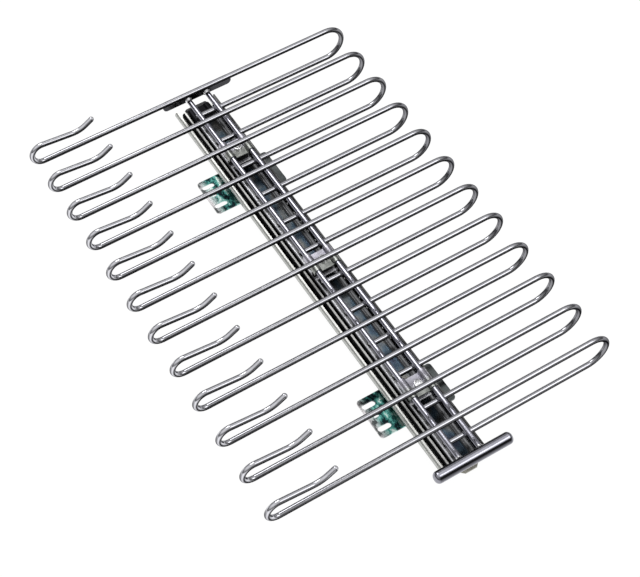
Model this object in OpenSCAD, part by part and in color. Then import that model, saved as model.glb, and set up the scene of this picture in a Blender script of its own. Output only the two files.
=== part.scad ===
// Pull-out trouser rack: bent wire arms on a three-member ball-bearing slide.
// It is drawn lying on its mounting plates, with the arms above the slide.
// +X is the side of the loops, -Y is the handle end, +Z is away from the shelf.
// The origin is under the middle of the whole rack, on the plates' underside.

/* [Rack] */
// Number of trouser arms
arm_count = 12; // [8:2:14]
// Distance from one arm to the next
arm_pitch = 38; // [36:0.5:44]
// Distance from the middle of each end arm to that end of the rack
end_margin = 29.5; // [28:0.5:36]
// Height of the stand-off blocks, which set the wires above the slide
standoff_h = 16.2; // [13:0.1:24]

/* [Trouser arms] */
// Diameter of the arm wire
wire_d = 5; // [4:0.1:6]
// Overall length of an arm, from the hook's outside to the loop's outside
arm_length = 327; // [300:1:400]
// From the middle of the slide to the loop's outside
loop_reach = 150; // [120:1:170]
// Height of the loop between the wire's centre lines
loop_h = 35; // [26:0.5:44]
// Height of the hook between the wire's centre lines
hook_h = 20.4; // [16:0.2:30]
// Slope of the hook's upper run, in degrees
hook_slope = 6; // [0:1:12]
// Length of the hook's upper run
hook_run = 29.4; // [20:0.2:50]
// Bend radius under the hook's tip, on the centre line
tip_bend_r = 22; // [12:0.5:30]
// Slope of the tip, in degrees
tip_slope = 31; // [15:1:50]
// Straight length of the tip
tip_length = 7.5; // [3:0.5:15]
// How far the return run passes the middle of the slide
return_pass = 12.5; // [11:0.5:20]

/* [Rail wires, cross plate and handle] */
// Diameter of the two rail wires
rail_wire_d = 5; // [4:0.1:6]
// Distance between the rail wires' centre lines
rail_gauge = 19.5; // [17:0.1:24]
// From the middle of the slide to the middle of the rail wires, to the hook side
rail_offset = 0.9; // [0:0.1:1.5]
// Width of the rear cross plate
cross_plate_w = 72.5; // [40:0.5:100]
// Height of the rear cross plate
cross_plate_h = 11.2; // [10:0.5:20]
// Thickness of the rear cross plate
cross_plate_t = 2.2; // [1.5:0.1:4]
// Corner radius of the rear cross plate
cross_plate_r = 4.5; // [1:0.5:5]
// From the last arm's middle to the cross plate
cross_plate_gap = 19; // [14:0.5:24]
// Diameter of the handle bar
handle_d = 10.8; // [7:0.5:14]
// Overall width of the handle bar
handle_w = 74.5; // [40:0.5:120]

/* [Clips] */
// Number of clips
clip_count = 3; // [1:2:3]
// Number of arm pitches from one clip to the next
clip_steps = 4; // [1:1:4]
// Length of a clip along the rail wires
clip_l = 20; // [14:0.5:26]
// Sheet thickness of a clip
clip_t = 1.2; // [0.8:0.1:1.6]
// Width of a stand-off block
standoff_w = 19.6; // [14:0.1:20]
// Length of a stand-off block along the slide
standoff_l = 5.2; // [5:0.1:12]
// Diameter of the clip screw
screw_d = 4; // [3:0.1:4.4]
// Diameter of the screw head
screw_head_d = 8.2; // [7:0.1:9.4]
// Height of the screw head
screw_head_h = 2.6; // [2:0.1:3.2]

/* [Slide] */
// Width of the slide over the outer rail
slide_w = 45; // [44:0.5:50]
// Height of the slide, from its back to the inner rail's face
slide_h = 12.7; // [12.5:0.1:14]
// Length that each stage of the slide draws out
stage_travel = 225; // [150:5:225]
// From the rack's front end to the slide's front end
slide_setback = 17; // [14:0.5:24]
// Sheet thickness of the outer rail
outer_t = 1.5; // [1.2:0.1:1.6]
// Sheet thickness of the middle rail
middle_t = 1.6; // [1.4:0.1:1.7]
// Sheet thickness of the inner rail
inner_t = 1.4; // [1.2:0.1:1.5]
// Diameter of the balls of the outer row
outer_ball_d = 4; // [3.6:0.1:4.2]
// Diameter of the balls of the inner row
inner_ball_d = 3.5; // [3.2:0.1:3.6]
// Distance from ball to ball
ball_pitch = 12.5; // [6:0.5:20]
// Sheet thickness of the ball cages
cage_t = 0.5; // [0.4:0.1:0.6]

/* [Mounting plates] */
// Thickness of the mounting plates
plate_t = 1.8; // [1.2:0.1:3]
// Length of a mounting plate along the slide
plate_l = 41.5; // [38:0.5:60]
// Reach of a plate from the slide's middle to the hook side
plate_hook_reach = 43.5; // [42:0.5:60]
// Reach of a plate from the slide's middle to the loop side
plate_loop_reach = 31; // [24:0.5:45]
// From the slide's front end to the middle of the front plate
front_plate_place = 78; // [30:1:120]
// From the slide's rear end to the middle of the rear plate
rear_plate_place = 101; // [30:1:130]
// Length of a fixing slot
slot_l = 12.5; // [8:0.5:14]
// Width of a fixing slot
slot_w = 5.5; // [4:0.1:6.5]
// Distance between a plate's two fixing slots
slot_pitch = 25; // [20:0.5:28]
// From the plate's hook-side edge to the slots
slot_edge = 1.6; // [1.2:0.1:3]

/* [Hidden] */
// Fineness of round shapes
$fn = 48;
// How far a cut runs past the face that it opens
overrun = 1;
// Steps in each bend of a sheet profile
bend_steps = 8;

// Clearances
ball_gap = 0.04;
pocket_gap = 0.1;
web_gap = 0.25;
fit_gap = 0.03;
end_gap = 0.5;
wire_gap = 0.05;

// Rack: places along Y
rack_length = (arm_count - 1) * arm_pitch + 2 * end_margin;
front_y = -rack_length / 2;
rear_y = rack_length / 2;
first_arm_y = -(arm_count - 1) * arm_pitch / 2;
handle_y = front_y + handle_d / 2;
cross_plate_y = cross_plate_gap - first_arm_y;

// Rack: places along X
slide_x = arm_length / 2 - loop_reach;
rail_x = slide_x - rail_offset;

// Rack: heights of the wires' centre lines
face_z = plate_t + slide_h;
rail_z = face_z + standoff_h + rail_wire_d / 2;
return_z = rail_z - (rail_wire_d + wire_d) / 2;
run_z = return_z + loop_h;

// Arm: the wire thins a little where it is bent
turn_thinning = 0.02;
turn_wire_d = wire_d - 2 * turn_thinning;
turn_lap = 0.2;

// Arm: centres of the two turns
loop_r = loop_h / 2;
hook_r = hook_h / 2;
loop_x = arm_length / 2 - wire_d / 2 - loop_r;
hook_x = wire_d / 2 + hook_r - arm_length / 2;

// Rear cross plate: height of its middle above the rail wires' centre lines
cross_plate_lift = 3.9;

// Handle bar: radius of its end edges
handle_edge_r = 4;

// Clip: a saddle over both wires, with a flat valley for the screw
clip_valley_gap = 0.6;
clip_corner_r = 0.7;
clip_leg = 2;
clip_bend_r = rail_wire_d / 2 + wire_gap + clip_t / 2;
clip_valley_z = rail_z - rail_wire_d / 2 + clip_valley_gap + clip_t / 2;
clip_top_z = rail_z + clip_bend_r;
clip_hole_share = 1.1;
clip_hole_d = screw_d * clip_hole_share;

// Stand-off block: a foot that is a little longer than the block
standoff_foot_step = 0.6;
standoff_foot_l = standoff_l + 2 * standoff_foot_step;
standoff_foot_h = 1.4;
standoff_edge_r = 1;

// Clip screw: its tip ends a little under the inner rail's web
screw_tip_pass = 1;
screw_edge_r = 1.1;
cross_w = 1.1;
cross_l = 4.6;
cross_depth = 1.6;

// Slide: lengths and ends
slide_front_y = front_y + slide_setback;
slide_length = rear_y - slide_front_y;
bumper_l = 5;
member_rear_y = rear_y - bumper_l - end_gap;
member_length = member_rear_y - slide_front_y;
slide_mid_y = (slide_front_y + member_rear_y) / 2;

// Slide: cross-section, with heights from the slide's back
lip_drop = 0.7;
lip_h = slide_h - lip_drop;
ball_h = 6.9;
outer_ball_x = slide_w / 2 - outer_t - ball_gap - outer_ball_d / 2;
middle_groove = 0.15;
middle_outer_x = outer_ball_x - outer_ball_d / 2 - ball_gap + middle_groove;
middle_inner_x = middle_outer_x - middle_t;
inner_ball_x = middle_inner_x + middle_groove - ball_gap - inner_ball_d / 2;
inner_outer_x = inner_ball_x - inner_ball_d / 2 - ball_gap + middle_groove;
outer_cage_h = outer_t + web_gap;
middle_web_h = outer_cage_h + cage_t + web_gap;
inner_cage_h = middle_web_h + middle_t + web_gap;
inner_foot_h = inner_cage_h + cage_t + web_gap;
cage_rise = 3;
cage_top_h = ball_h + cage_rise;

// Outer rail: the raceway is a bend round the balls, between two necks
race_angle = 55;
race_r = outer_ball_d / 2 + ball_gap + outer_t / 2;
neck_r = 0.9;
neck_inset = 2.3;
neck_x = slide_w / 2 - neck_inset;
outer_corner_r = 1.75;
race_run = (outer_ball_x + race_r * cos(race_angle) - neck_x) / sin(race_angle);
race_rise = race_r * sin(race_angle) + race_run * cos(race_angle);

// Middle rail: its lips lean in over the inner balls
lip_lean = 1.9;
lip_corner_r = 0.9;
middle_corner_r = 1.6;
lip_rise = 2.3;
lip_low = 0.1;
middle_lip_h = ball_h + lip_rise;
middle_top_h = lip_h - lip_low;
middle_flange_x = (middle_outer_x + middle_inner_x) / 2;
access_hole_d = 9;
access_count = 4;
access_place = 60;

// Middle rail: cage stop, a tongue of the web that is raised at the front end
tongue_w = 17.2;
tongue_root = 3.5;
tongue_rise = 3.8;
tongue_slope_l = 4;
tongue_l = 8;
tongue_bend_r = 1.6;
tongue_chamfer = 3;

// Inner rail: a shallow channel along the web
channel_depth = 1.7;
channel_half_w = 5.2;
channel_slope_w = 2;
channel_bend_r = 1;
inner_corner_r = 2.8;
inner_web_h = slide_h - inner_t / 2;
inner_flange_x = inner_outer_x - inner_t / 2;
channel_h = inner_web_h - channel_depth;

// Ball cages
cage_length = slide_length - stage_travel - 2 * ball_pitch;
cage_corner_r = 1.25;
ball_count = floor((cage_length - ball_pitch) / ball_pitch) + 1;
balls_span = (ball_count - 1) * ball_pitch;

// Rear bumper: a buffer block with a peg through the outer rail's web
bumper_w = 24;
bumper_top = 8.5;
bumper_r = 3;
bumper_peg_d = 4;
bumper_peg_rise = 2;
bumper_nose = 0.8;
bumper_nose_d = 4;

// Rivets between the outer rail and the mounting plates
rivet_d = 4;
rivet_head_d = 7.2;
rivet_head_h = 1.1;
rivet_dx = 12;
rivet_dy = 13;

// Mounting plates: corners, notch and pressed rib
plate_r = 3;
notch_l = 5;
notch_w = 2.6;
rib_l = 14;
rib_w = 2.4;
rib_h = 0.8;
rib_x = 26.5;
front_plate_y = slide_front_y + front_plate_place;
rear_plate_y = rear_y - rear_plate_place;
slot_x = slot_edge + slot_l / 2 - plate_hook_reach;

ARM_NAMES = [for (i = [1:arm_count]) str("trouser_arm_", i < 10 ? "0" : "", i)];

// Profiles of bent sheet

function unit(v) = v / norm(v);
function left_of(d) = [-d[1], d[0]];
function turned(v, a) = [v[0] * cos(a) - v[1] * sin(a), v[0] * sin(a) + v[1] * cos(a)];
function turn_angle(d0, d1) = atan2(d0[0] * d1[1] - d0[1] * d1[0], d0 * d1);
function reversed(list) = [for (i = [len(list) - 1:-1:0]) list[i]];
function mirrored(points) = [for (p = reversed(points)) [-p[0], p[1]]];

// Points of one side of the bend at p1: side is 1 on the left and -1 on the right
function bend_points(p0, p1, p2, r, side, t) =
    let (
        d0 = unit(p1 - p0),
        a = turn_angle(d0, unit(p2 - p1)),
        start = p1 - d0 * r * tan(abs(a) / 2),
        centre = start + left_of(d0) * r * sign(a),
        spoke = (start - centre) / r * (r - sign(a) * side * t / 2)
    )
    [for (k = [0:bend_steps]) centre + turned(spoke, a * k / bend_steps)];

// Points of one side of a strip of thickness t that follows a bent path
function side_points(path, radii, side, t) =
    let (
        last = len(path) - 1,
        first_step = left_of(unit(path[1] - path[0])) * side * t / 2,
        last_step = left_of(unit(path[last] - path[last - 1])) * side * t / 2
    )
    concat(
        [path[0] + first_step],
        [for (i = [1:last - 1])
            each bend_points(path[i - 1], path[i], path[i + 1], radii[i - 1], side, t)],
        [path[last] + last_step]
    );

module bent_sheet(path, radii, t) {
    polygon(concat(side_points(path, radii, 1, t), reversed(side_points(path, radii, -1, t))));
}

// A sheet profile that is the same on both sides, given as its right half
module twin_sheet(half_path, half_radii, t) {
    bent_sheet(concat(mirrored(half_path), half_path), concat(reversed(half_radii), half_radii), t);
}

// Extrudes a profile of X and Z along the slide, between two places on Y
module along_slide(from_y, to_y) {
    translate([slide_x, to_y, plate_t])
        rotate([90, 0, 0])
            linear_extrude(height = to_y - from_y) children();
}

// A flat shape with round ends, l long and w wide, along X
module stadium(l, w) {
    square([l - w, w], center = true);
    for (s = [-1, 1]) translate([s * (l - w) / 2, 0]) circle(d = w);
}

// A rectangle with round corners, from a low corner and a size
module rounded_plate(low, size, r) {
    translate([low[0] + r, low[1]]) square([size[0] - 2 * r, size[1]]);
    translate([low[0], low[1] + r]) square([size[0], size[1] - 2 * r]);
    for (x = [low[0] + r, low[0] + size[0] - r], y = [low[1] + r, low[1] + size[1] - r])
        translate([x, y]) circle(r = r);
}

// Outer rail

function outer_half_path() = [
    [neck_x, outer_t / 2],
    [neck_x, ball_h - race_rise],
    [outer_ball_x + race_r / cos(race_angle), ball_h],
    [neck_x, ball_h + race_rise],
    [neck_x, lip_h]
];

module rivet_solid(gap) {
    head_z = plate_t + outer_t;
    rotate_extrude()
        polygon([
            [0, 0],
            [rivet_d / 2 + gap, 0],
            [rivet_d / 2 + gap, head_z - rivet_head_h],
            [rivet_head_d / 2 + gap, head_z],
            [0, head_z]
        ]);
}

module at_rivets() {
    for (y = [front_plate_y, rear_plate_y], dx = [-1, 1], dy = [-1, 1])
        translate([slide_x + dx * rivet_dx, y + dy * rivet_dy, 0]) children();
}

module at_bumper_peg() {
    translate([slide_x, rear_y - bumper_l / 2, plate_t]) children();
}

module outer_rail() {
    color("silver") difference() {
        along_slide(slide_front_y, rear_y)
            twin_sheet(outer_half_path(), [outer_corner_r, neck_r, race_r, neck_r], outer_t);
        at_rivets() rivet_solid(fit_gap);
        at_bumper_peg() translate([0, 0, -overrun])
            cylinder(d = bumper_peg_d + 2 * fit_gap, h = outer_t + 2 * overrun);
    }
}

// Mounting plates

module mounting_plate(y) {
    difference() {
        union() {
            linear_extrude(height = plate_t)
                rounded_plate(
                    [slide_x - plate_hook_reach, y - plate_l / 2],
                    [plate_hook_reach + plate_loop_reach, plate_l],
                    plate_r
                );
            translate([slide_x - rib_x, y, 0])
                linear_extrude(height = plate_t + rib_h)
                    rotate(90) stadium(rib_l, rib_w);
        }
        for (s = [-1, 1])
            translate([slide_x + slot_x, y + s * slot_pitch / 2, -overrun])
                linear_extrude(height = plate_t + 2 * overrun) stadium(slot_l, slot_w);
        translate([slide_x + slot_x, y, -overrun])
            linear_extrude(height = plate_t + 2 * overrun) stadium(notch_l, notch_w);
        at_rivets() translate([0, 0, -overrun])
            cylinder(d = rivet_d + 2 * fit_gap, h = plate_t + 2 * overrun);
    }
}

module front_mounting_plate() { color("cadetblue") mounting_plate(front_plate_y); }

module rear_mounting_plate() { color("cadetblue") mounting_plate(rear_plate_y); }

module plate_rivets() { color("gainsboro") at_rivets() rivet_solid(0); }

// Rear bumper

module rear_bumper() {
    color("black") {
        translate([0, 0, outer_t]) along_slide(rear_y - bumper_l + bumper_nose, rear_y)
            rounded_plate([-bumper_w / 2, 0], [bumper_w, bumper_top - outer_t], bumper_r);
        translate([slide_x, rear_y - bumper_l + bumper_nose, plate_t + (outer_t + bumper_top) / 2])
            rotate([90, 0, 0]) cylinder(d = bumper_nose_d, h = bumper_nose);
        at_bumper_peg() cylinder(d = bumper_peg_d, h = outer_t + bumper_peg_rise);
    }
}

// Middle rail

function middle_half_path() = [
    [middle_flange_x, middle_web_h + middle_t / 2],
    [middle_flange_x, middle_lip_h],
    [middle_flange_x - lip_lean, middle_lip_h + lip_lean],
    [middle_flange_x - lip_lean, middle_top_h]
];

module race_grooves(x, d) {
    for (s = [-1, 1]) translate([s * x, ball_h]) circle(d = d + 2 * ball_gap);
}

// The raised tongue: a bent strip along Y with chamfered front corners
module middle_tongue() {
    web_h = middle_web_h + middle_t / 2;
    path = [
        [tongue_root, web_h],
        [-tongue_root / 2, web_h],
        [-tongue_root / 2 - tongue_slope_l, web_h + tongue_rise],
        [-tongue_l - tongue_root / 2, web_h + tongue_rise]
    ];
    tip_y = slide_front_y - tongue_l - tongue_root / 2;
    intersection() {
        translate([slide_x - tongue_w / 2, slide_front_y, plate_t])
            rotate([90, 0, 90])
                linear_extrude(height = tongue_w)
                    bent_sheet(path, [tongue_bend_r, tongue_bend_r], middle_t);
        linear_extrude(height = face_z)
            polygon([
                [slide_x - tongue_w / 2, slide_front_y + tongue_root],
                [slide_x - tongue_w / 2, tip_y + tongue_chamfer],
                [slide_x - tongue_w / 2 + tongue_chamfer, tip_y],
                [slide_x + tongue_w / 2 - tongue_chamfer, tip_y],
                [slide_x + tongue_w / 2, tip_y + tongue_chamfer],
                [slide_x + tongue_w / 2, slide_front_y + tongue_root]
            ]);
    }
}

module middle_rail() {
    access_pitch = (member_length - 2 * access_place) / (access_count - 1);
    color("lightgray") union() {
        difference() {
            along_slide(slide_front_y, member_rear_y)
                difference() {
                    twin_sheet(
                        middle_half_path(),
                        [middle_corner_r, lip_corner_r, lip_corner_r],
                        middle_t
                    );
                    race_grooves(outer_ball_x, outer_ball_d);
                    race_grooves(inner_ball_x, inner_ball_d);
                }
            for (i = [0:access_count - 1])
                translate([slide_x, slide_front_y + access_place + i * access_pitch, plate_t])
                    cylinder(d = access_hole_d, h = slide_h);
        }
        middle_tongue();
    }
}

// Inner rail

function inner_half_path() = [
    [channel_half_w, channel_h],
    [channel_half_w + channel_slope_w, inner_web_h],
    [inner_flange_x, inner_web_h],
    [inner_flange_x, inner_foot_h]
];

module at_clips() {
    for (i = [0:clip_count - 1])
        translate([slide_x, (i - (clip_count - 1) / 2) * clip_steps * arm_pitch, 0]) children();
}

module inner_rail() {
    color("slategray") difference() {
        along_slide(slide_front_y, member_rear_y)
            difference() {
                twin_sheet(
                    inner_half_path(),
                    [channel_bend_r, channel_bend_r, inner_corner_r],
                    inner_t
                );
                race_grooves(inner_ball_x, inner_ball_d);
            }
        at_clips() translate([0, 0, plate_t + ball_h])
            cylinder(d = screw_d + 2 * fit_gap, h = slide_h);
    }
}

// Ball cages and balls

module at_balls() {
    for (i = [0:ball_count - 1])
        translate([slide_x, slide_mid_y - balls_span / 2 + i * ball_pitch, plate_t + ball_h])
            children();
}

module ball_cage(x, web_h, ball_d) {
    pocket_d = ball_d + 2 * pocket_gap;
    difference() {
        along_slide(slide_mid_y - cage_length / 2, slide_mid_y + cage_length / 2)
            twin_sheet([[x, web_h + cage_t / 2], [x, cage_top_h]], [cage_corner_r], cage_t);
        at_balls() rotate([0, 90, 0]) cylinder(d = pocket_d, h = slide_w, center = true);
    }
}

module ball_rows(x, d) {
    at_balls() for (s = [-1, 1]) translate([s * x, 0, 0]) sphere(d = d);
}

module outer_ball_cage() { color("goldenrod") ball_cage(outer_ball_x, outer_cage_h, outer_ball_d); }

module outer_balls() { color("white") ball_rows(outer_ball_x, outer_ball_d); }

module inner_ball_cage() { color("goldenrod") ball_cage(inner_ball_x, inner_cage_h, inner_ball_d); }

module inner_balls() { color("white") ball_rows(inner_ball_x, inner_ball_d); }

// Stand-off blocks, clips and screws

module standoff_blocks() {
    color("dimgray") at_clips() difference() {
        union() {
            translate([-rail_offset, 0, face_z])
                linear_extrude(height = standoff_h)
                    rounded_plate(
                        [-standoff_w / 2, -standoff_l / 2],
                        [standoff_w, standoff_l],
                        standoff_edge_r
                    );
            translate([-rail_offset, 0, face_z])
                linear_extrude(height = standoff_foot_h)
                    rounded_plate(
                        [-standoff_w / 2, -standoff_foot_l / 2],
                        [standoff_w, standoff_foot_l],
                        standoff_edge_r
                    );
        }
        translate([0, 0, face_z - overrun])
            cylinder(d = screw_d + 2 * fit_gap, h = standoff_h + 2 * overrun);
    }
}

function clip_half_path() =
    let (
        inner_x = rail_gauge / 2 - clip_bend_r,
        outer_x = rail_gauge / 2 + clip_bend_r
    )
    [
        [inner_x, clip_valley_z],
        [inner_x, clip_top_z],
        [outer_x, clip_top_z],
        [outer_x, rail_z - clip_leg]
    ];

module saddle_clips() {
    over_r = clip_bend_r - fit_gap / 2;
    color("lightsteelblue") at_clips() difference() {
        translate([-rail_offset, clip_l / 2, 0])
            rotate([90, 0, 0])
                linear_extrude(height = clip_l)
                    twin_sheet(clip_half_path(), [clip_corner_r, over_r, over_r], clip_t);
        translate([0, 0, rail_z - rail_wire_d])
            cylinder(d = clip_hole_d, h = 2 * rail_wire_d);
    }
}

module clip_screws() {
    head_z = clip_valley_z + clip_t / 2;
    tip_z = plate_t + channel_h - inner_t / 2 - screw_tip_pass;
    color("white") at_clips() difference() {
        union() {
            translate([0, 0, tip_z]) cylinder(d = screw_d, h = head_z - tip_z);
            translate([0, 0, head_z])
                rotate_extrude() {
                    square([screw_head_d / 2 - screw_edge_r, screw_head_h]);
                    square([screw_head_d / 2, screw_head_h - screw_edge_r]);
                    translate([screw_head_d / 2 - screw_edge_r, screw_head_h - screw_edge_r])
                        intersection() {
                            circle(r = screw_edge_r);
                            square(screw_edge_r);
                        }
                }
        }
        for (a = [0, 90])
            translate([0, 0, head_z + screw_head_h - cross_depth])
                rotate(a)
                    translate([-cross_l / 2, -cross_w / 2, 0])
                        cube([cross_l, cross_w, cross_depth + overrun]);
    }
}

// Rail wires, cross plate and handle

module handle_solid() {
    translate([rail_x, handle_y, rail_z])
        rotate([0, 90, 0])
            rotate_extrude()
                intersection() {
                    rounded_plate([-handle_d / 2, -handle_w / 2], [handle_d, handle_w], handle_edge_r);
                    translate([0, -handle_w / 2]) square([handle_d / 2, handle_w]);
                }
}

// The front end of a rail wire is shaped to the handle bar
module rail_wire(x) {
    difference() {
        translate([rail_x + x, cross_plate_y, rail_z])
            rotate([90, 0, 0]) cylinder(d = rail_wire_d, h = cross_plate_y - handle_y);
        translate([rail_x, handle_y, rail_z])
            rotate([0, 90, 0]) cylinder(d = handle_d, h = handle_w, center = true);
    }
}

module left_rail_wire() { color("whitesmoke") rail_wire(-rail_gauge / 2); }

module right_rail_wire() { color("whitesmoke") rail_wire(rail_gauge / 2); }

module rear_cross_plate() {
    color("whitesmoke")
        translate([rail_x, cross_plate_y + cross_plate_t, rail_z - cross_plate_h / 2 + cross_plate_lift])
            rotate([90, 0, 0])
                linear_extrude(height = cross_plate_t)
                    rounded_plate([-cross_plate_w / 2, 0], [cross_plate_w, cross_plate_h], cross_plate_r);
}

module handle_bar() { color("whitesmoke") handle_solid(); }

// Trouser arms

// A turn of the wire in the XZ plane: the centre, radius, start angle and sweep,
// with angles from +X towards +Z
module wire_turn(x, z, r, start, sweep) {
    translate([x, 0, z])
        rotate([90, 0, 0])
            rotate(start)
                rotate_extrude(angle = sweep) translate([r, 0]) circle(d = turn_wire_d);
}

// A straight of the wire in the XZ plane, from a point, at a slope. It runs into
// the turn before it and the turn after it, where it has them.
module wire_run(x, z, slope, length, before = turn_lap, after = turn_lap) {
    translate([x, 0, z])
        rotate([0, 90 - slope, 0])
            translate([0, 0, -before]) cylinder(d = wire_d, h = length + before + after);
}

module trouser_arm() {
    return_end_x = slide_x - return_pass;
    run_x = hook_x + hook_r * sin(hook_slope);
    run_top_z = run_z + hook_r + hook_r * cos(hook_slope);
    bend_x = run_x + hook_run * cos(hook_slope);
    bend_z = run_top_z - hook_run * sin(hook_slope);
    centre_x = bend_x + tip_bend_r * sin(hook_slope);
    centre_z = bend_z + tip_bend_r * cos(hook_slope);
    tip_x = centre_x + tip_bend_r * sin(tip_slope);
    tip_z = centre_z - tip_bend_r * cos(tip_slope);
    end_x = tip_x + tip_length * cos(tip_slope);
    end_z = tip_z + tip_length * sin(tip_slope);

    wire_run(return_end_x, return_z, 0, loop_x - return_end_x, 0);
    wire_turn(loop_x, run_z - loop_r, loop_r, -90, 180);
    wire_run(hook_x, run_z, 0, loop_x - hook_x);
    wire_turn(hook_x, run_z + hook_r, hook_r, 90 - hook_slope, 180 + hook_slope);
    wire_run(run_x, run_top_z, -hook_slope, hook_run);
    wire_turn(centre_x, centre_z, tip_bend_r, -90 - hook_slope, hook_slope + tip_slope);
    wire_run(tip_x, tip_z, tip_slope, tip_length, turn_lap, 0);
    translate([end_x, 0, end_z]) sphere(d = turn_wire_d);
}

outer_rail();
front_mounting_plate();
rear_mounting_plate();
plate_rivets();
rear_bumper();
middle_rail();
outer_ball_cage();
outer_balls();
inner_ball_cage();
inner_balls();
inner_rail();
standoff_blocks();
left_rail_wire();
right_rail_wire();
rear_cross_plate();
handle_bar();
saddle_clips();
clip_screws();
for (i = [0:arm_count - 1])
    color("whitesmoke") translate([0, first_arm_y + i * arm_pitch, 0]) trouser_arm();
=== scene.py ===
"""Looks of the pull-out trouser rack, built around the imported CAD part."""

import math

import bpy
from mathutils import Matrix, Vector


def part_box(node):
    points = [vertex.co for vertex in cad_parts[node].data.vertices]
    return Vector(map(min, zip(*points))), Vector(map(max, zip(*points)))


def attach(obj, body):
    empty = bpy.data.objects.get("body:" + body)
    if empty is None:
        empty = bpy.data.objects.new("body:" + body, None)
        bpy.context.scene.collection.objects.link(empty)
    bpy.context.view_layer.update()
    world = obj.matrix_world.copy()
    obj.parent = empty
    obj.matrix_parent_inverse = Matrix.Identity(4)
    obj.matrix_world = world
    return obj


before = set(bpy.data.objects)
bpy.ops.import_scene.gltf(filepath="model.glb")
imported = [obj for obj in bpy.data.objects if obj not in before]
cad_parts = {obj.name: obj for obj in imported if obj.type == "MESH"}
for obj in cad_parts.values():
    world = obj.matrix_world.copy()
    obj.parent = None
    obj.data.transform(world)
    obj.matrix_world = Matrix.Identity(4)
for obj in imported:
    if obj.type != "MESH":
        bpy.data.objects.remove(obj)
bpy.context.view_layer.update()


# Outer rail of the slide. A channel rolled from zinc-plated steel strip, whose
# raceways bulge outwards on both sides. The plating is satin outside, with shade
# painted darker on the faces that do not look up and on the far flank, and a
# highlight painted along each rolled lip. Where the balls run it is black with
# grease and painted shade, darker on the hook side.
def finish(name, metallic, roughness):
    material = bpy.data.materials.new(name)
    material.use_nodes = True
    shader = material.node_tree.nodes["Principled BSDF"]
    shader.inputs["Metallic"].default_value = metallic
    shader.inputs["Roughness"].default_value = roughness
    return material, material.node_tree, shader


def place(tree, stretch=(1, 1, 1)):
    where = tree.nodes.new("ShaderNodeTexCoord")
    mapping = tree.nodes.new("ShaderNodeMapping")
    mapping.inputs["Scale"].default_value = stretch
    tree.links.new(where.outputs["Object"], mapping.inputs["Vector"])
    return mapping.outputs["Vector"]


def part_of(tree, vector, axis):
    split = tree.nodes.new("ShaderNodeSeparateXYZ")
    tree.links.new(vector, split.inputs["Vector"])
    return split.outputs[axis]


def along(tree, axis):
    return part_of(tree, place(tree), axis)


def facing(tree, axis):
    return part_of(tree, tree.nodes.new("ShaderNodeNewGeometry").outputs["Normal"], axis)


def cloud(tree, where, scale, detail=3.0, rough=0.5):
    noise = tree.nodes.new("ShaderNodeTexNoise")
    noise.inputs["Scale"].default_value = scale
    noise.inputs["Detail"].default_value = detail
    noise.inputs["Roughness"].default_value = rough
    tree.links.new(where, noise.inputs["Vector"])
    return noise.outputs["Fac"]


def ramp(tree, value, stops):
    node = tree.nodes.new("ShaderNodeValToRGB")
    elements = node.color_ramp.elements
    while len(elements) < len(stops):
        elements.new(0.5)
    for element, (at, colour) in zip(elements, stops):
        element.position = at
        element.color = (*colour, 1) if isinstance(colour, tuple) else (colour, colour, colour, 1)
    tree.links.new(value, node.inputs["Fac"])
    return node.outputs["Color"]


def speckle(tree, scale, low, high, stretch=(1, 1, 1)):
    return ramp(tree, cloud(tree, place(tree, stretch), scale), [(0.3, low), (0.7, high)])


def step_up(tree, value, low, high):
    node = tree.nodes.new("ShaderNodeMapRange")
    node.inputs["From Min"].default_value = low
    node.inputs["From Max"].default_value = high
    tree.links.new(value, node.inputs["Value"])
    return node.outputs["Result"]


def sums(tree, kind, *values):
    node = tree.nodes.new("ShaderNodeMath")
    node.operation = kind
    for socket, value in zip(node.inputs, values):
        if isinstance(value, (int, float)):
            socket.default_value = value
        else:
            tree.links.new(value, socket)
    return node.outputs["Value"]


def blend(tree, share, first, second, kind="MIX"):
    node = tree.nodes.new("ShaderNodeMix")
    node.data_type = "RGBA"
    node.blend_type = kind
    for name, value in (("Factor", share), ("A", first), ("B", second)):
        socket = node.inputs[name]
        if isinstance(value, tuple):
            socket.default_value = (*value, 1)
        elif isinstance(value, (int, float)):
            socket.default_value = value
        else:
            tree.links.new(value, socket)
    return node.outputs["Result"]


def paint(tree, shader, value):
    tree.links.new(value, shader.inputs["Base Color"])


def roughen(tree, shader, value):
    tree.links.new(value, shader.inputs["Roughness"])


def relief(tree, shader, height, strength, depth):
    bump = tree.nodes.new("ShaderNodeBump")
    bump.inputs["Strength"].default_value = strength
    bump.inputs["Distance"].default_value = depth
    tree.links.new(height, bump.inputs["Height"])
    tree.links.new(bump.outputs["Normal"], shader.inputs["Normal"])


def inner_faces(tree):
    side = sums(tree, "SIGN", sums(tree, "SUBTRACT", along(tree, "X"), slide_x))
    outwards = sums(tree, "MULTIPLY", side, facing(tree, "X"))
    return step_up(tree, outwards, -0.10, -0.35)


# Grease and painted shade: blends in a dark colour that is darker still on the hook side of the slide.
def grease_and_shade(tree, bare, share):
    hand = step_up(tree, along(tree, "X"), slide_x - 0.002, slide_x + 0.002)
    shaded_grease = ramp(tree, hand, [(0.0, (0.033, 0.034, 0.036)), (1.0, (0.225, 0.23, 0.25))])
    return blend(tree, share, bare, shaded_grease)


def dress(material, *names):
    for name in names:
        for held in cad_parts[name].material_slots:
            held.material = material


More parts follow.
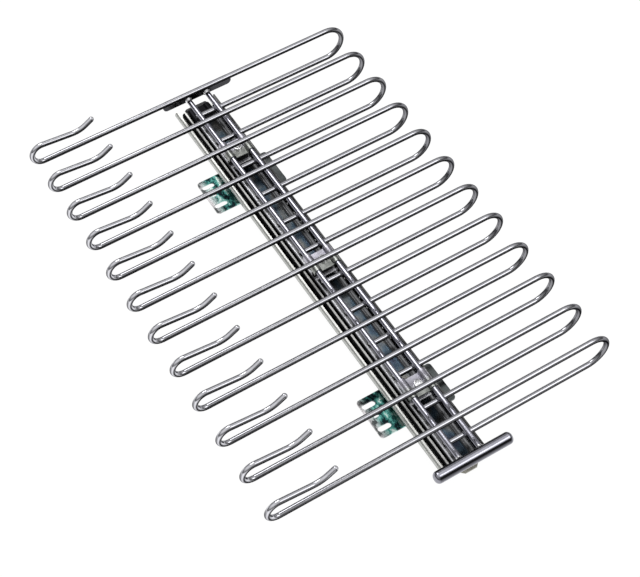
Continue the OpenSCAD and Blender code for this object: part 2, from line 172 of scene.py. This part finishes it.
slide_x = sum(corner[0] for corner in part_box("outer_rail")) / 2
rolled = (1, 0.03, 1)
rail_zinc, tree, shader = finish("rail_zinc", 1.0, 0.4)
grain = cloud(tree, place(tree, (1, 0.05, 1)), 260)
# Painted shade: faces that turn down or sideways take a darker tone than faces that look up.
plating = blend(
    tree,
    step_up(tree, facing(tree, "Z"), 0.0, 0.5),
    ramp(tree, grain, [(0.3, (0.27, 0.28, 0.27)), (0.7, (0.36, 0.37, 0.36))]),
    ramp(tree, grain, [(0.3, (0.62, 0.63, 0.60)), (0.7, (0.78, 0.79, 0.76))]),
)
lip_root, lip_edge = 0.0129, 0.0134
# Painted highlight: a near-white band along the top of each rolled lip, where a bright line of reflection
# runs.
lip_highlight = step_up(tree, along(tree, "Z"), lip_root, lip_edge)
lip_highlight_colour = speckle(tree, 90, (0.74, 0.74, 0.71), (0.97, 0.97, 0.94), stretch=(1, 0.3, 1))
# The faces inside the ball races take grease and painted shade.
plating = blend(tree, lip_highlight, grease_and_shade(tree, plating, inner_faces(tree)), lip_highlight_colour)
# Painted shade: beyond the lip on the loop side, the far flank is painted near-black.
flank_from, flank_full = slide_x + 0.0183, slide_x + 0.0190
shaded_far_flank = step_up(tree, along(tree, "X"), flank_from, flank_full)
paint(tree, shader, blend(tree, shaded_far_flank, plating, ramp(tree, grain, [(0.3, 0.07), (0.7, 0.13)])))
roughen(tree, shader, speckle(tree, 90, 0.32, 0.48))
relief(tree, shader, cloud(tree, place(tree, rolled), 900), 0.15, 0.00005)
dress(rail_zinc, "outer_rail")


# Mounting plates. Two steel plates across the slide's back, blanked and zinc
# plated, then passivated, which leaves a mottled blue-green cast. Towards the hook
# side the cast gives way to a mottled whitish painted reflection. They are
# riveted to the outer rail.
plate_zinc, tree, shader = finish("plate_zinc", 1.0, 0.2)
mottle = cloud(tree, place(tree, (1, 0.6, 1)), 150, 4.0, 0.6)
# Painted reflection: a mottled whitish tone for the hook side of the plates.
painted_reflection = ramp(tree, mottle, [(0.42, (0.10, 0.11, 0.11)), (0.5, (0.60, 0.58, 0.59))])
cast = ramp(
    tree,
    mottle,
    [
        (0.42, (0.008, 0.016, 0.020)),
        (0.48, (0.035, 0.16, 0.145)),
        (0.55, (0.12, 0.38, 0.33)),
        (0.62, (0.62, 0.76, 0.72)),
    ],
)
plain = ramp(tree, mottle, [(0.35, (0.10, 0.115, 0.115)), (0.65, (0.15, 0.16, 0.16))])
reflection_end, cast_end = -0.029, -0.021
plain_from, plain_full = slide_x + 0.012, slide_x + 0.018
# The painted reflection covers the hook side, up to the blue-green cast.
cast = blend(tree, step_up(tree, along(tree, "X"), reflection_end, cast_end), painted_reflection, cast)
paint(tree, shader, blend(tree, step_up(tree, along(tree, "X"), plain_from, plain_full), cast, plain))
roughen(tree, shader, speckle(tree, 60, 0.12, 0.28))
relief(tree, shader, cloud(tree, place(tree), 1400), 0.2, 0.00004)
dress(plate_zinc, "front_mounting_plate", "rear_mounting_plate")

rivet_steel, tree, shader = finish("rivet_steel", 1.0, 0.28)
paint(tree, shader, speckle(tree, 500, (0.45, 0.45, 0.46), (0.62, 0.62, 0.63)))
dress(rivet_steel, "plate_rivets")


# Rear bumper. A moulded black buffer that is pegged into the rear end of the
# outer rail, where the sliding members stop against its nose.
bumper_black, tree, shader = finish("bumper_black", 0.0, 0.45)
paint(tree, shader, speckle(tree, 300, (0.008, 0.008, 0.009), (0.02, 0.02, 0.022)))
relief(tree, shader, cloud(tree, place(tree), 2500), 0.3, 0.00006)
dress(bumper_black, "rear_bumper")


# Middle rail. It is rolled from thicker strip, with a raceway on each side of
# both walls. Its walls are dark with grease and painted shade, a highlight is
# painted along each lip, and the raised tongue at its front end has a brown cast.
middle_zinc, tree, shader = finish("middle_zinc", 1.0, 0.32)
plating = speckle(tree, 300, (0.22, 0.215, 0.18), (0.36, 0.35, 0.31), stretch=(1, 0.06, 1))
wall_from, wall_full = 0.0105, 0.0125
away = sums(tree, "ABSOLUTE", sums(tree, "SUBTRACT", along(tree, "X"), slide_x))
# Grease and painted shade on the walls.
walls = step_up(tree, away, wall_from, wall_full)
lip_root, lip_edge = 0.0130, 0.0134
# Painted highlight along the top of each lip.
lip_highlight = step_up(tree, along(tree, "Z"), lip_root, lip_edge)
lip_highlight_colour = speckle(tree, 90, (0.70, 0.70, 0.68), (0.95, 0.95, 0.92), stretch=(1, 0.3, 1))
paint(tree, shader, blend(tree, lip_highlight, grease_and_shade(tree, plating, walls), lip_highlight_colour))
# The painted highlight on the lips is less metallic, so that it reads whitish.
tree.links.new(ramp(tree, lip_highlight, [(0.0, 1.0), (1.0, 0.45)]), shader.inputs["Metallic"])
relief(tree, shader, cloud(tree, place(tree, rolled), 900), 0.15, 0.00005)
dress(middle_zinc, "middle_rail")


# Ball cages and balls. Thin pressed steel strips, black with grease, which keep
# two rows of hard, polished balls apart on each side.
cage_steel, tree, shader = finish("cage_steel", 1.0, 0.4)
paint(tree, shader, speckle(tree, 240, (0.015, 0.015, 0.014), (0.05, 0.048, 0.043)))
dress(cage_steel, "outer_ball_cage", "inner_ball_cage")

ball_steel, tree, shader = finish("ball_steel", 1.0, 0.08)
paint(tree, shader, speckle(tree, 700, 0.50, 0.62))
dress(ball_steel, "outer_balls", "inner_balls")


# Inner rail. Its web has a shallow channel along the middle, painted with mottled
# blue-grey patches of reflection, and a highlight is painted along its
# shoulders. Grease and painted shade lie dark on the steep flanks, shade is
# painted in bands around each clip and at the handle, and the rear tip is
# painted near-black.
mirror_zinc, tree, shader = finish("mirror_zinc", 1.0, 0.07)
# Painted reflection: mottled blue-grey and slate patches on the channel's mirror web.
web_painted_light = ramp(
    tree,
    cloud(tree, place(tree, (1, 0.6, 1)), 70),
    [
        (0.34, (0.10, 0.11, 0.17)),
        (0.46, (0.13, 0.20, 0.27)),
        (0.54, (0.23, 0.27, 0.30)),
        (0.66, (0.34, 0.33, 0.31)),
    ],
)
half_web, half_length = 0.0125, 0.24
# Painted highlight: bright bands along the bends of the shoulders, over a mid-grey shoulder tone.
shoulder_highlights = ramp(
    tree,
    step_up(tree, along(tree, "X"), slide_x - half_web, slide_x + half_web),
    [
        (0.070, 0.08), (0.090, 0.70), (0.105, 0.90), (0.118, 0.70), (0.135, 0.14), (0.21, 0.18),
        (0.25, 0.27), (0.73, 0.10), (0.84, 0.12), (0.87, 0.40), (0.93, 0.60),
    ],
)
shoulder_highlights = blend(tree, 1.0, shoulder_highlights, (0.95, 0.96, 1.0), "MULTIPLY")
# Painted shade: dark bands across the channel around each clip, near the handle and at the rear.
painted_shade_bands = ramp(
    tree,
    step_up(tree, along(tree, "Y"), -half_length, half_length),
    [
        (0.080, 0.35), (0.090, 0.9), (0.102, 0.9), (0.110, 0.15), (0.167, 0.15), (0.188, 0.95),
        (0.425, 0.75), (0.433, 0.2), (0.483, 0.2), (0.5, 0.75), (0.737, 0.45), (0.746, 0.2),
        (0.804, 0.2), (0.817, 0.5), (0.908, 0.5), (0.929, 0.08),
    ],
)
web_painted_light = blend(tree, 1.0, web_painted_light, painted_shade_bands, "MULTIPLY")
channel_edge, web_edge = 0.0056, 0.0062
away = sums(tree, "ABSOLUTE", sums(tree, "SUBTRACT", along(tree, "X"), slide_x))
beside = step_up(tree, away, channel_edge, web_edge)
web_painted_light = blend(tree, beside, web_painted_light, shoulder_highlights)
# The rear tip is painted near-black.
tip_from, tip_full = 0.213, 0.216
tip = step_up(tree, along(tree, "Y"), tip_from, tip_full)
web_painted_light = blend(tree, tip, web_painted_light, (0.012, 0.012, 0.014))
# Grease and painted shade on the steep flanks beside the channel.
steep = step_up(tree, facing(tree, "Z"), 0.75, 0.35)
paint(tree, shader, grease_and_shade(tree, web_painted_light, sums(tree, "MULTIPLY", steep, beside)))
roughen(tree, shader, ramp(tree, cloud(tree, place(tree), 160), [(0.3, 0.24), (0.75, 0.34)]))
relief(tree, shader, cloud(tree, place(tree, (1, 0.06, 1)), 120, 2.0), 0.04, 0.0004)
dress(mirror_zinc, "inner_rail")


# Stand-off blocks. A block is a near-black casting between the inner rail and the
# clip. Its bright zinc foot has a rolled flange in front of it and behind it,
# whitish and half matt, with a highlight painted in where the clip shades it.
def repeat(piece, name, count, stride):
    copies = piece.modifiers.new(name, "ARRAY")
    copies.count = count
    copies.use_relative_offset = False
    copies.use_constant_offset = True
    copies.constant_offset_displace = stride
    bpy.ops.object.modifier_apply(modifier=copies.name)


block_black, tree, shader = finish("block_black", 1.0, 0.35)
foot_top, foot_bright = 0.0162, 0.0158
foot = step_up(tree, along(tree, "Z"), foot_top, foot_bright)
black = speckle(tree, 400, (0.010, 0.010, 0.011), (0.035, 0.035, 0.037))
bright = speckle(tree, 300, (0.62, 0.62, 0.66), (0.80, 0.80, 0.84))
paint(tree, shader, blend(tree, foot, black, bright))
relief(tree, shader, cloud(tree, place(tree), 1200), 0.3, 0.0001)
dress(block_black, "standoff_blocks")

block_low, block_high = (Vector(corner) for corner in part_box("standoff_blocks"))
foot_half = 0.0032
clips_y = [block_low.y + foot_half, 0.0, block_high.y - foot_half]
flange_wide, flange_deep, flange_tall, flange_round = 0.021, 0.0020, 0.0014, 0.0006
flange_y = clips_y[0] - foot_half - flange_deep / 2
bpy.ops.object.select_all(action="DESELECT")
bpy.ops.mesh.primitive_cube_add(size=1, location=(slide_x, flange_y, block_low.z + flange_tall / 2))
flange = bpy.context.object
flange.name = "foot_flanges"
flange.scale = (flange_wide, flange_deep, flange_tall)
bpy.ops.object.transform_apply(location=True, rotation=True, scale=True)
bpy.ops.object.mode_set(mode="EDIT")
bpy.ops.mesh.select_all(action="SELECT")
bpy.ops.mesh.bevel(offset=flange_round, segments=3)
bpy.ops.object.mode_set(mode="OBJECT")
repeat(flange, "front_and_rear", 2, (0, foot_half * 2 + flange_deep, 0))
repeat(flange, "clips", len(clips_y), (0, clips_y[1] - clips_y[0], 0))
bpy.ops.object.shade_smooth_by_angle(angle=math.radians(40))
# Painted highlight: the flanges are whitish and half matt, so that they stay bright in the clip's shade.
foot_zinc, tree, shader = finish("foot_zinc", 0.3, 0.3)
paint(tree, shader, speckle(tree, 300, (0.74, 0.74, 0.78), (0.90, 0.90, 0.94)))
flange.data.materials.append(foot_zinc)
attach(flange, "carriage")


# Rail wires and arms. Bright-drawn steel wire, bent and welded up as one frame and
# chromium plated. Shade is painted on the undersides and, evenly, on the faces
# that turn sideways, such as those around the bends; more shade is painted
# towards the hook side, and a highlight is painted on the hooks.
def chrome_plate(name, tone, underside_shade, rim):
    material, tree, shader = finish(name, 1.0, 0.12)
    dull, bright = tone
    upper = speckle(tree, 60, dull, bright)
    # Painted shade: the tone darkens towards the hook side, down to 0.6 at the hook end.
    hook_side, loop_side = -0.16, 0.0
    inward = step_up(tree, along(tree, "X"), hook_side, loop_side)
    upper = blend(tree, 1.0, upper, ramp(tree, inward, [(0.0, 0.60), (0.35, 0.80), (1.0, 1.0)]), "MULTIPLY")
    # Painted highlight: the hooks take the bright tone.
    bend_from, bend_full = -0.149, -0.153
    end_bend = step_up(tree, along(tree, "X"), bend_from, bend_full)
    above_from, above_full = 0.066, 0.070
    hook = sums(tree, "MAXIMUM", end_bend, step_up(tree, along(tree, "Z"), above_from, above_full))
    upper = blend(tree, hook, upper, bright)
    # Painted shade on faces that turn sideways, at 0.62 of the tone; on the hooks, a painted highlight at
    # 1.75 on faces that look straight sideways.
    sideways = sums(tree, "ABSOLUTE", facing(tree, "X"))
    hook_highlight = blend(tree, step_up(tree, sideways, 0.60, 0.90), (1.75, 1.75, 1.75), (0.50, 0.50, 0.50))
    bent = blend(tree, hook, (0.62, 0.62, 0.62), hook_highlight)
    # Painted shade: darker on the faces that turn down, following a ramp on the normal's Z.
    painted_underside_shade = ramp(tree, step_up(tree, facing(tree, "Z"), -1, 1), underside_shade)
    painted_light_factor = blend(tree, step_up(tree, sideways, 0.10, 0.55), painted_underside_shade, bent)
    paint(tree, shader, blend(tree, 1.0, upper, painted_light_factor, "MULTIPLY"))
    roughen(tree, shader, speckle(tree, 220, 0.13, 0.21))
    relief(tree, shader, cloud(tree, place(tree), 1800), 0.08, 0.00004)
    shader.inputs["Specular Tint"].default_value = (rim, rim, rim, 1)
    return material


arms = ["trouser_arm_%02d" % number for number in range(1, 13)]
wire_chrome = chrome_plate(
    "wire_chrome",
    tone=((0.42, 0.42, 0.45), (0.49, 0.49, 0.52)),
    underside_shade=[(0.20, 0.03), (0.64, 0.05), (0.75, 0.32), (0.87, 1.0)],
    rim=0.3,
)
dress(wire_chrome, *arms)
rail_chrome = chrome_plate(
    "rail_chrome",
    tone=((0.49, 0.49, 0.56), (0.58, 0.58, 0.66)),
    underside_shade=[(0.05, 0.60), (0.50, 0.45), (0.90, 1.0)],
    rim=0.3,
)
dress(rail_chrome, "left_rail_wire", "right_rail_wire")


# Cross plate and handle. A steel strip across the rear ends of the rail wires and a
# bar across their front ends, welded on before plating.
# Painted shade on the handle: a dark band just below its top, with a lighter painted reflection on its
# underside.
bar_chrome = chrome_plate(
    "bar_chrome",
    tone=((0.49, 0.49, 0.56), (0.57, 0.57, 0.64)),
    underside_shade=[
        (0.24, 0.75), (0.50, 0.55), (0.65, 0.30), (0.76, 0.12),
        (0.85, 0.05), (0.90, 0.05), (0.945, 0.38), (0.97, 0.85),
    ],
    rim=0.9,
)
dress(bar_chrome, "handle_bar")
# Painted shade on the cross plate: its front and lower faces are darker than its top.
strip_chrome = chrome_plate(
    "strip_chrome",
    tone=((0.50, 0.50, 0.55), (0.58, 0.58, 0.63)),
    underside_shade=[(0.24, 0.40), (0.50, 0.12), (0.74, 0.12), (0.93, 1.0)],
    rim=0.5,
)
dress(strip_chrome, "rear_cross_plate")


# Welds. A rail wire is ringed by a bright bead where it meets the cross plate and
# the handle, and pressed into the return run of each arm by a spot weld.
weld_chrome, tree, shader = finish("weld_chrome", 1.0, 0.2)
paint(tree, shader, speckle(tree, 500, (0.60, 0.60, 0.62), (0.90, 0.90, 0.92)))
relief(tree, shader, cloud(tree, place(tree), 900), 0.5, 0.0003)

wire_low, wire_high = (Vector(corner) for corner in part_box("left_rail_wire"))
wire_z = (wire_low.z + wire_high.z) / 2
wire_r = (wire_high.z - wire_low.z) / 2
wires_x = [sum(corner[0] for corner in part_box(name)) / 2 for name in ("left_rail_wire", "right_rail_wire")]


def weld_ring(name, x, y, towards, reach, spread):
    bpy.ops.object.select_all(action="DESELECT")
    bpy.ops.mesh.primitive_cylinder_add(
        vertices=32, radius=wire_r * 1.02, depth=reach, end_fill_type="NOTHING",
        location=(x, y - towards * reach / 2, wire_z), rotation=(math.radians(90), 0, 0),
    )
    ring = bpy.context.object
    ring.name = name
    bpy.ops.object.transform_apply(location=True, rotation=True, scale=True)
    cuts = 2
    bpy.ops.object.mode_set(mode="EDIT")
    bpy.ops.mesh.select_mode(type="VERT")
    bpy.ops.mesh.select_all(action="SELECT")
    bpy.ops.mesh.subdivide(number_cuts=cuts)
    bpy.ops.mesh.select_all(action="DESELECT")
    bpy.ops.object.mode_set(mode="OBJECT")
    steps = cuts + 1
    for row in range(steps + 1):
        row_y = y - towards * reach * row / steps
        for vertex in ring.data.vertices:
            vertex.select = abs(vertex.co.y - row_y) < reach * 0.05
        bpy.ops.object.mode_set(mode="EDIT")
        grow = 1 + (spread - 1) * (1 - row / steps) ** 2
        bpy.ops.transform.resize(value=(grow, 1, grow), center_override=(x, row_y, wire_z))
        bpy.ops.mesh.select_all(action="DESELECT")
        bpy.ops.object.mode_set(mode="OBJECT")
    thick = ring.modifiers.new("wall", "SOLIDIFY")
    thick.thickness = wire_r * 0.12
    thick.offset = -1
    bpy.ops.object.modifier_apply(modifier=thick.name)
    smooth = ring.modifiers.new("round", "SUBSURF")
    smooth.levels = smooth.render_levels = 1
    bpy.ops.object.modifier_apply(modifier=smooth.name)
    bpy.ops.object.shade_smooth()
    ring.data.materials.append(weld_chrome)
    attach(ring, "carriage")


plate_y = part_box("rear_cross_plate")[0][1]
handle_rear_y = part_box("handle_bar")[1][1]
sunk = 0.0004
for hand, x in zip(("left", "right"), wires_x):
    weld_ring(hand + "_plate_weld", x, plate_y, towards=1, reach=0.0022, spread=1.45)
    weld_ring(hand + "_handle_weld", x, handle_rear_y - sunk, towards=-1, reach=0.0020, spread=1.25)

arm_low, arm_high = (Vector(corner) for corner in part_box("trouser_arm_01"))
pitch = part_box("trouser_arm_02")[0][1] - arm_low.y
first_weld = (wires_x[0], (arm_low.y + arm_high.y) / 2, wire_low.z)
bpy.ops.object.select_all(action="DESELECT")
bpy.ops.mesh.primitive_uv_sphere_add(segments=20, ring_count=10, radius=wire_r * 0.9, location=first_weld)
spots = bpy.context.object
spots.name = "crossing_welds"
bpy.ops.object.transform_apply(location=True, rotation=True, scale=True)
bpy.ops.object.mode_set(mode="EDIT")
bpy.ops.mesh.select_all(action="SELECT")
bpy.ops.transform.resize(value=(1, 1, 0.42), center_override=first_weld)
bpy.ops.object.mode_set(mode="OBJECT")
bpy.ops.object.shade_smooth()
repeat(spots, "across", len(wires_x), (wires_x[1] - wires_x[0], 0, 0))
repeat(spots, "along", len(arms), (0, pitch, 0))
spots.data.materials.append(weld_chrome)
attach(spots, "carriage")


# Saddle clips and screws. A clip is bent from steel strip over both rail wires and
# drawn down onto its stand-off block by one pan-head screw. Shade is painted on
# its front half, which is darker and grey-green, and its rear half is lighter,
# with a lavender cast.
clip_zinc, tree, shader = finish("clip_zinc", 1.0, 0.3)
half_stride = (clips_y[1] - clips_y[0]) / 2
in_clip = sums(tree, "WRAP", along(tree, "Y"), half_stride, -half_stride)
smudge = cloud(tree, place(tree), 200)
rear_half = ramp(tree, smudge, [(0.35, (0.40, 0.39, 0.44)), (0.65, (0.56, 0.55, 0.62))])
# Painted shade: the front half of each clip is darker and grey-green.
shaded_front_half = ramp(tree, smudge, [(0.35, (0.18, 0.19, 0.18)), (0.65, (0.36, 0.37, 0.35))])
paint(tree, shader, blend(tree, step_up(tree, in_clip, foot_half, -foot_half), rear_half, shaded_front_half))
relief(tree, shader, cloud(tree, place(tree), 1500), 0.15, 0.00005)
dress(clip_zinc, "saddle_clips")

screw_zinc, tree, shader = finish("screw_zinc", 1.0, 0.15)
paint(tree, shader, speckle(tree, 600, (0.84, 0.84, 0.85), (0.96, 0.96, 0.97)))
dress(screw_zinc, "clip_screws")


# Studio: the camera of the photograph, which looks down on the rack from the hook
# side and the handle end. Its place and its turn were fitted to the twelve arms.
swing, height, roll = math.radians(-28.6386), math.radians(54.5971), math.radians(-3.0879)
eye = (-0.37898, -0.71035, 1.13072)
back = Vector((math.sin(swing) * math.cos(height), -math.cos(swing) * math.cos(height), math.sin(height)))
level = Vector((math.cos(swing), math.sin(swing), 0))
upright = back.cross(level)
across = math.cos(roll) * level + math.sin(roll) * upright
upward = -math.sin(roll) * level + math.cos(roll) * upright
camera_data = bpy.data.cameras.new("camera")
camera_data.sensor_fit = "HORIZONTAL"
camera_data.sensor_width = 36.0
camera_data.lens = 87.78
camera_data.clip_start = 0.01
camera_data.clip_end = 50.0
camera = bpy.data.objects.new("camera", camera_data)
turn = Matrix((across, upward, back)).transposed().to_4x4()
camera.matrix_world = Matrix.Translation(eye) @ turn
bpy.context.scene.collection.objects.link(camera)
bpy.context.scene.camera = camera


# Studio: a floor that glows evenly white to the camera and in reflections, and is
# plain and matt to all other light, so that it takes only a faint shadow.
bpy.ops.object.select_all(action="DESELECT")
bpy.ops.mesh.primitive_circle_add(vertices=96, radius=20.0, fill_type="NGON", location=(0, 0, -0.0002))
floor = bpy.context.object
floor.name = "floor"
bpy.ops.object.transform_apply(location=True, rotation=True, scale=True)
floor_white = bpy.data.materials.new("floor_white")
floor_white.use_nodes = True
tree = floor_white.node_tree
tree.nodes.clear()
out = tree.nodes.new("ShaderNodeOutputMaterial")
matt = tree.nodes.new("ShaderNodeBsdfDiffuse")
matt.inputs["Color"].default_value = (0.9, 0.9, 0.9, 1)
glow = tree.nodes.new("ShaderNodeEmission")
glow.inputs["Strength"].default_value = 1.05
path = tree.nodes.new("ShaderNodeLightPath")
seen = sums(tree, "MAXIMUM", path.outputs["Is Camera Ray"], path.outputs["Is Glossy Ray"])
seen = sums(tree, "MAXIMUM", seen, path.outputs["Is Transmission Ray"])
both = tree.nodes.new("ShaderNodeMixShader")
tree.links.new(sums(tree, "MULTIPLY", seen, 0.92), both.inputs["Fac"])
tree.links.new(matt.outputs["BSDF"], both.inputs[1])
tree.links.new(glow.outputs["Emission"], both.inputs[2])
tree.links.new(both.outputs["Shader"], out.inputs["Surface"])
floor.data.materials.append(floor_white)


# Studio: two soft boxes overhead, in a room that is light at the ceiling and dim
# around the horizon.
def soft_box(name, at, towards, wide, deep, watts):
    lamp = bpy.data.lights.new(name, "AREA")
    lamp.shape = "RECTANGLE"
    lamp.size = wide
    lamp.size_y = deep
    lamp.energy = watts
    held = bpy.data.objects.new(name, lamp)
    held.location = at
    held.rotation_euler = (Vector(towards) - Vector(at)).to_track_quat("-Z", "Y").to_euler()
    bpy.context.scene.collection.objects.link(held)


soft_box("front_box", at=(0.57, -0.70, 1.10), towards=(0.15, 0, 0), wide=0.62, deep=0.7, watts=3.0)
soft_box("rear_box", at=(-0.02, 0.75, 1.25), towards=(0, 0, 0), wide=0.5, deep=0.7, watts=6)

world = bpy.data.worlds.new("room")
bpy.context.scene.world = world
world.use_nodes = True
tree = world.node_tree
room = tree.nodes["Background"]
room.inputs["Strength"].default_value = 1.0
overhead = part_of(tree, tree.nodes.new("ShaderNodeTexCoord").outputs["Generated"], "Z")
tree.links.new(
    ramp(tree, overhead, [(0.0, 0.12), (0.3, 0.22), (0.55, 0.50), (0.8, 0.82), (1.0, 0.92)]),
    room.inputs["Color"],
)

bpy.context.scene.view_settings.view_transform = "Standard"
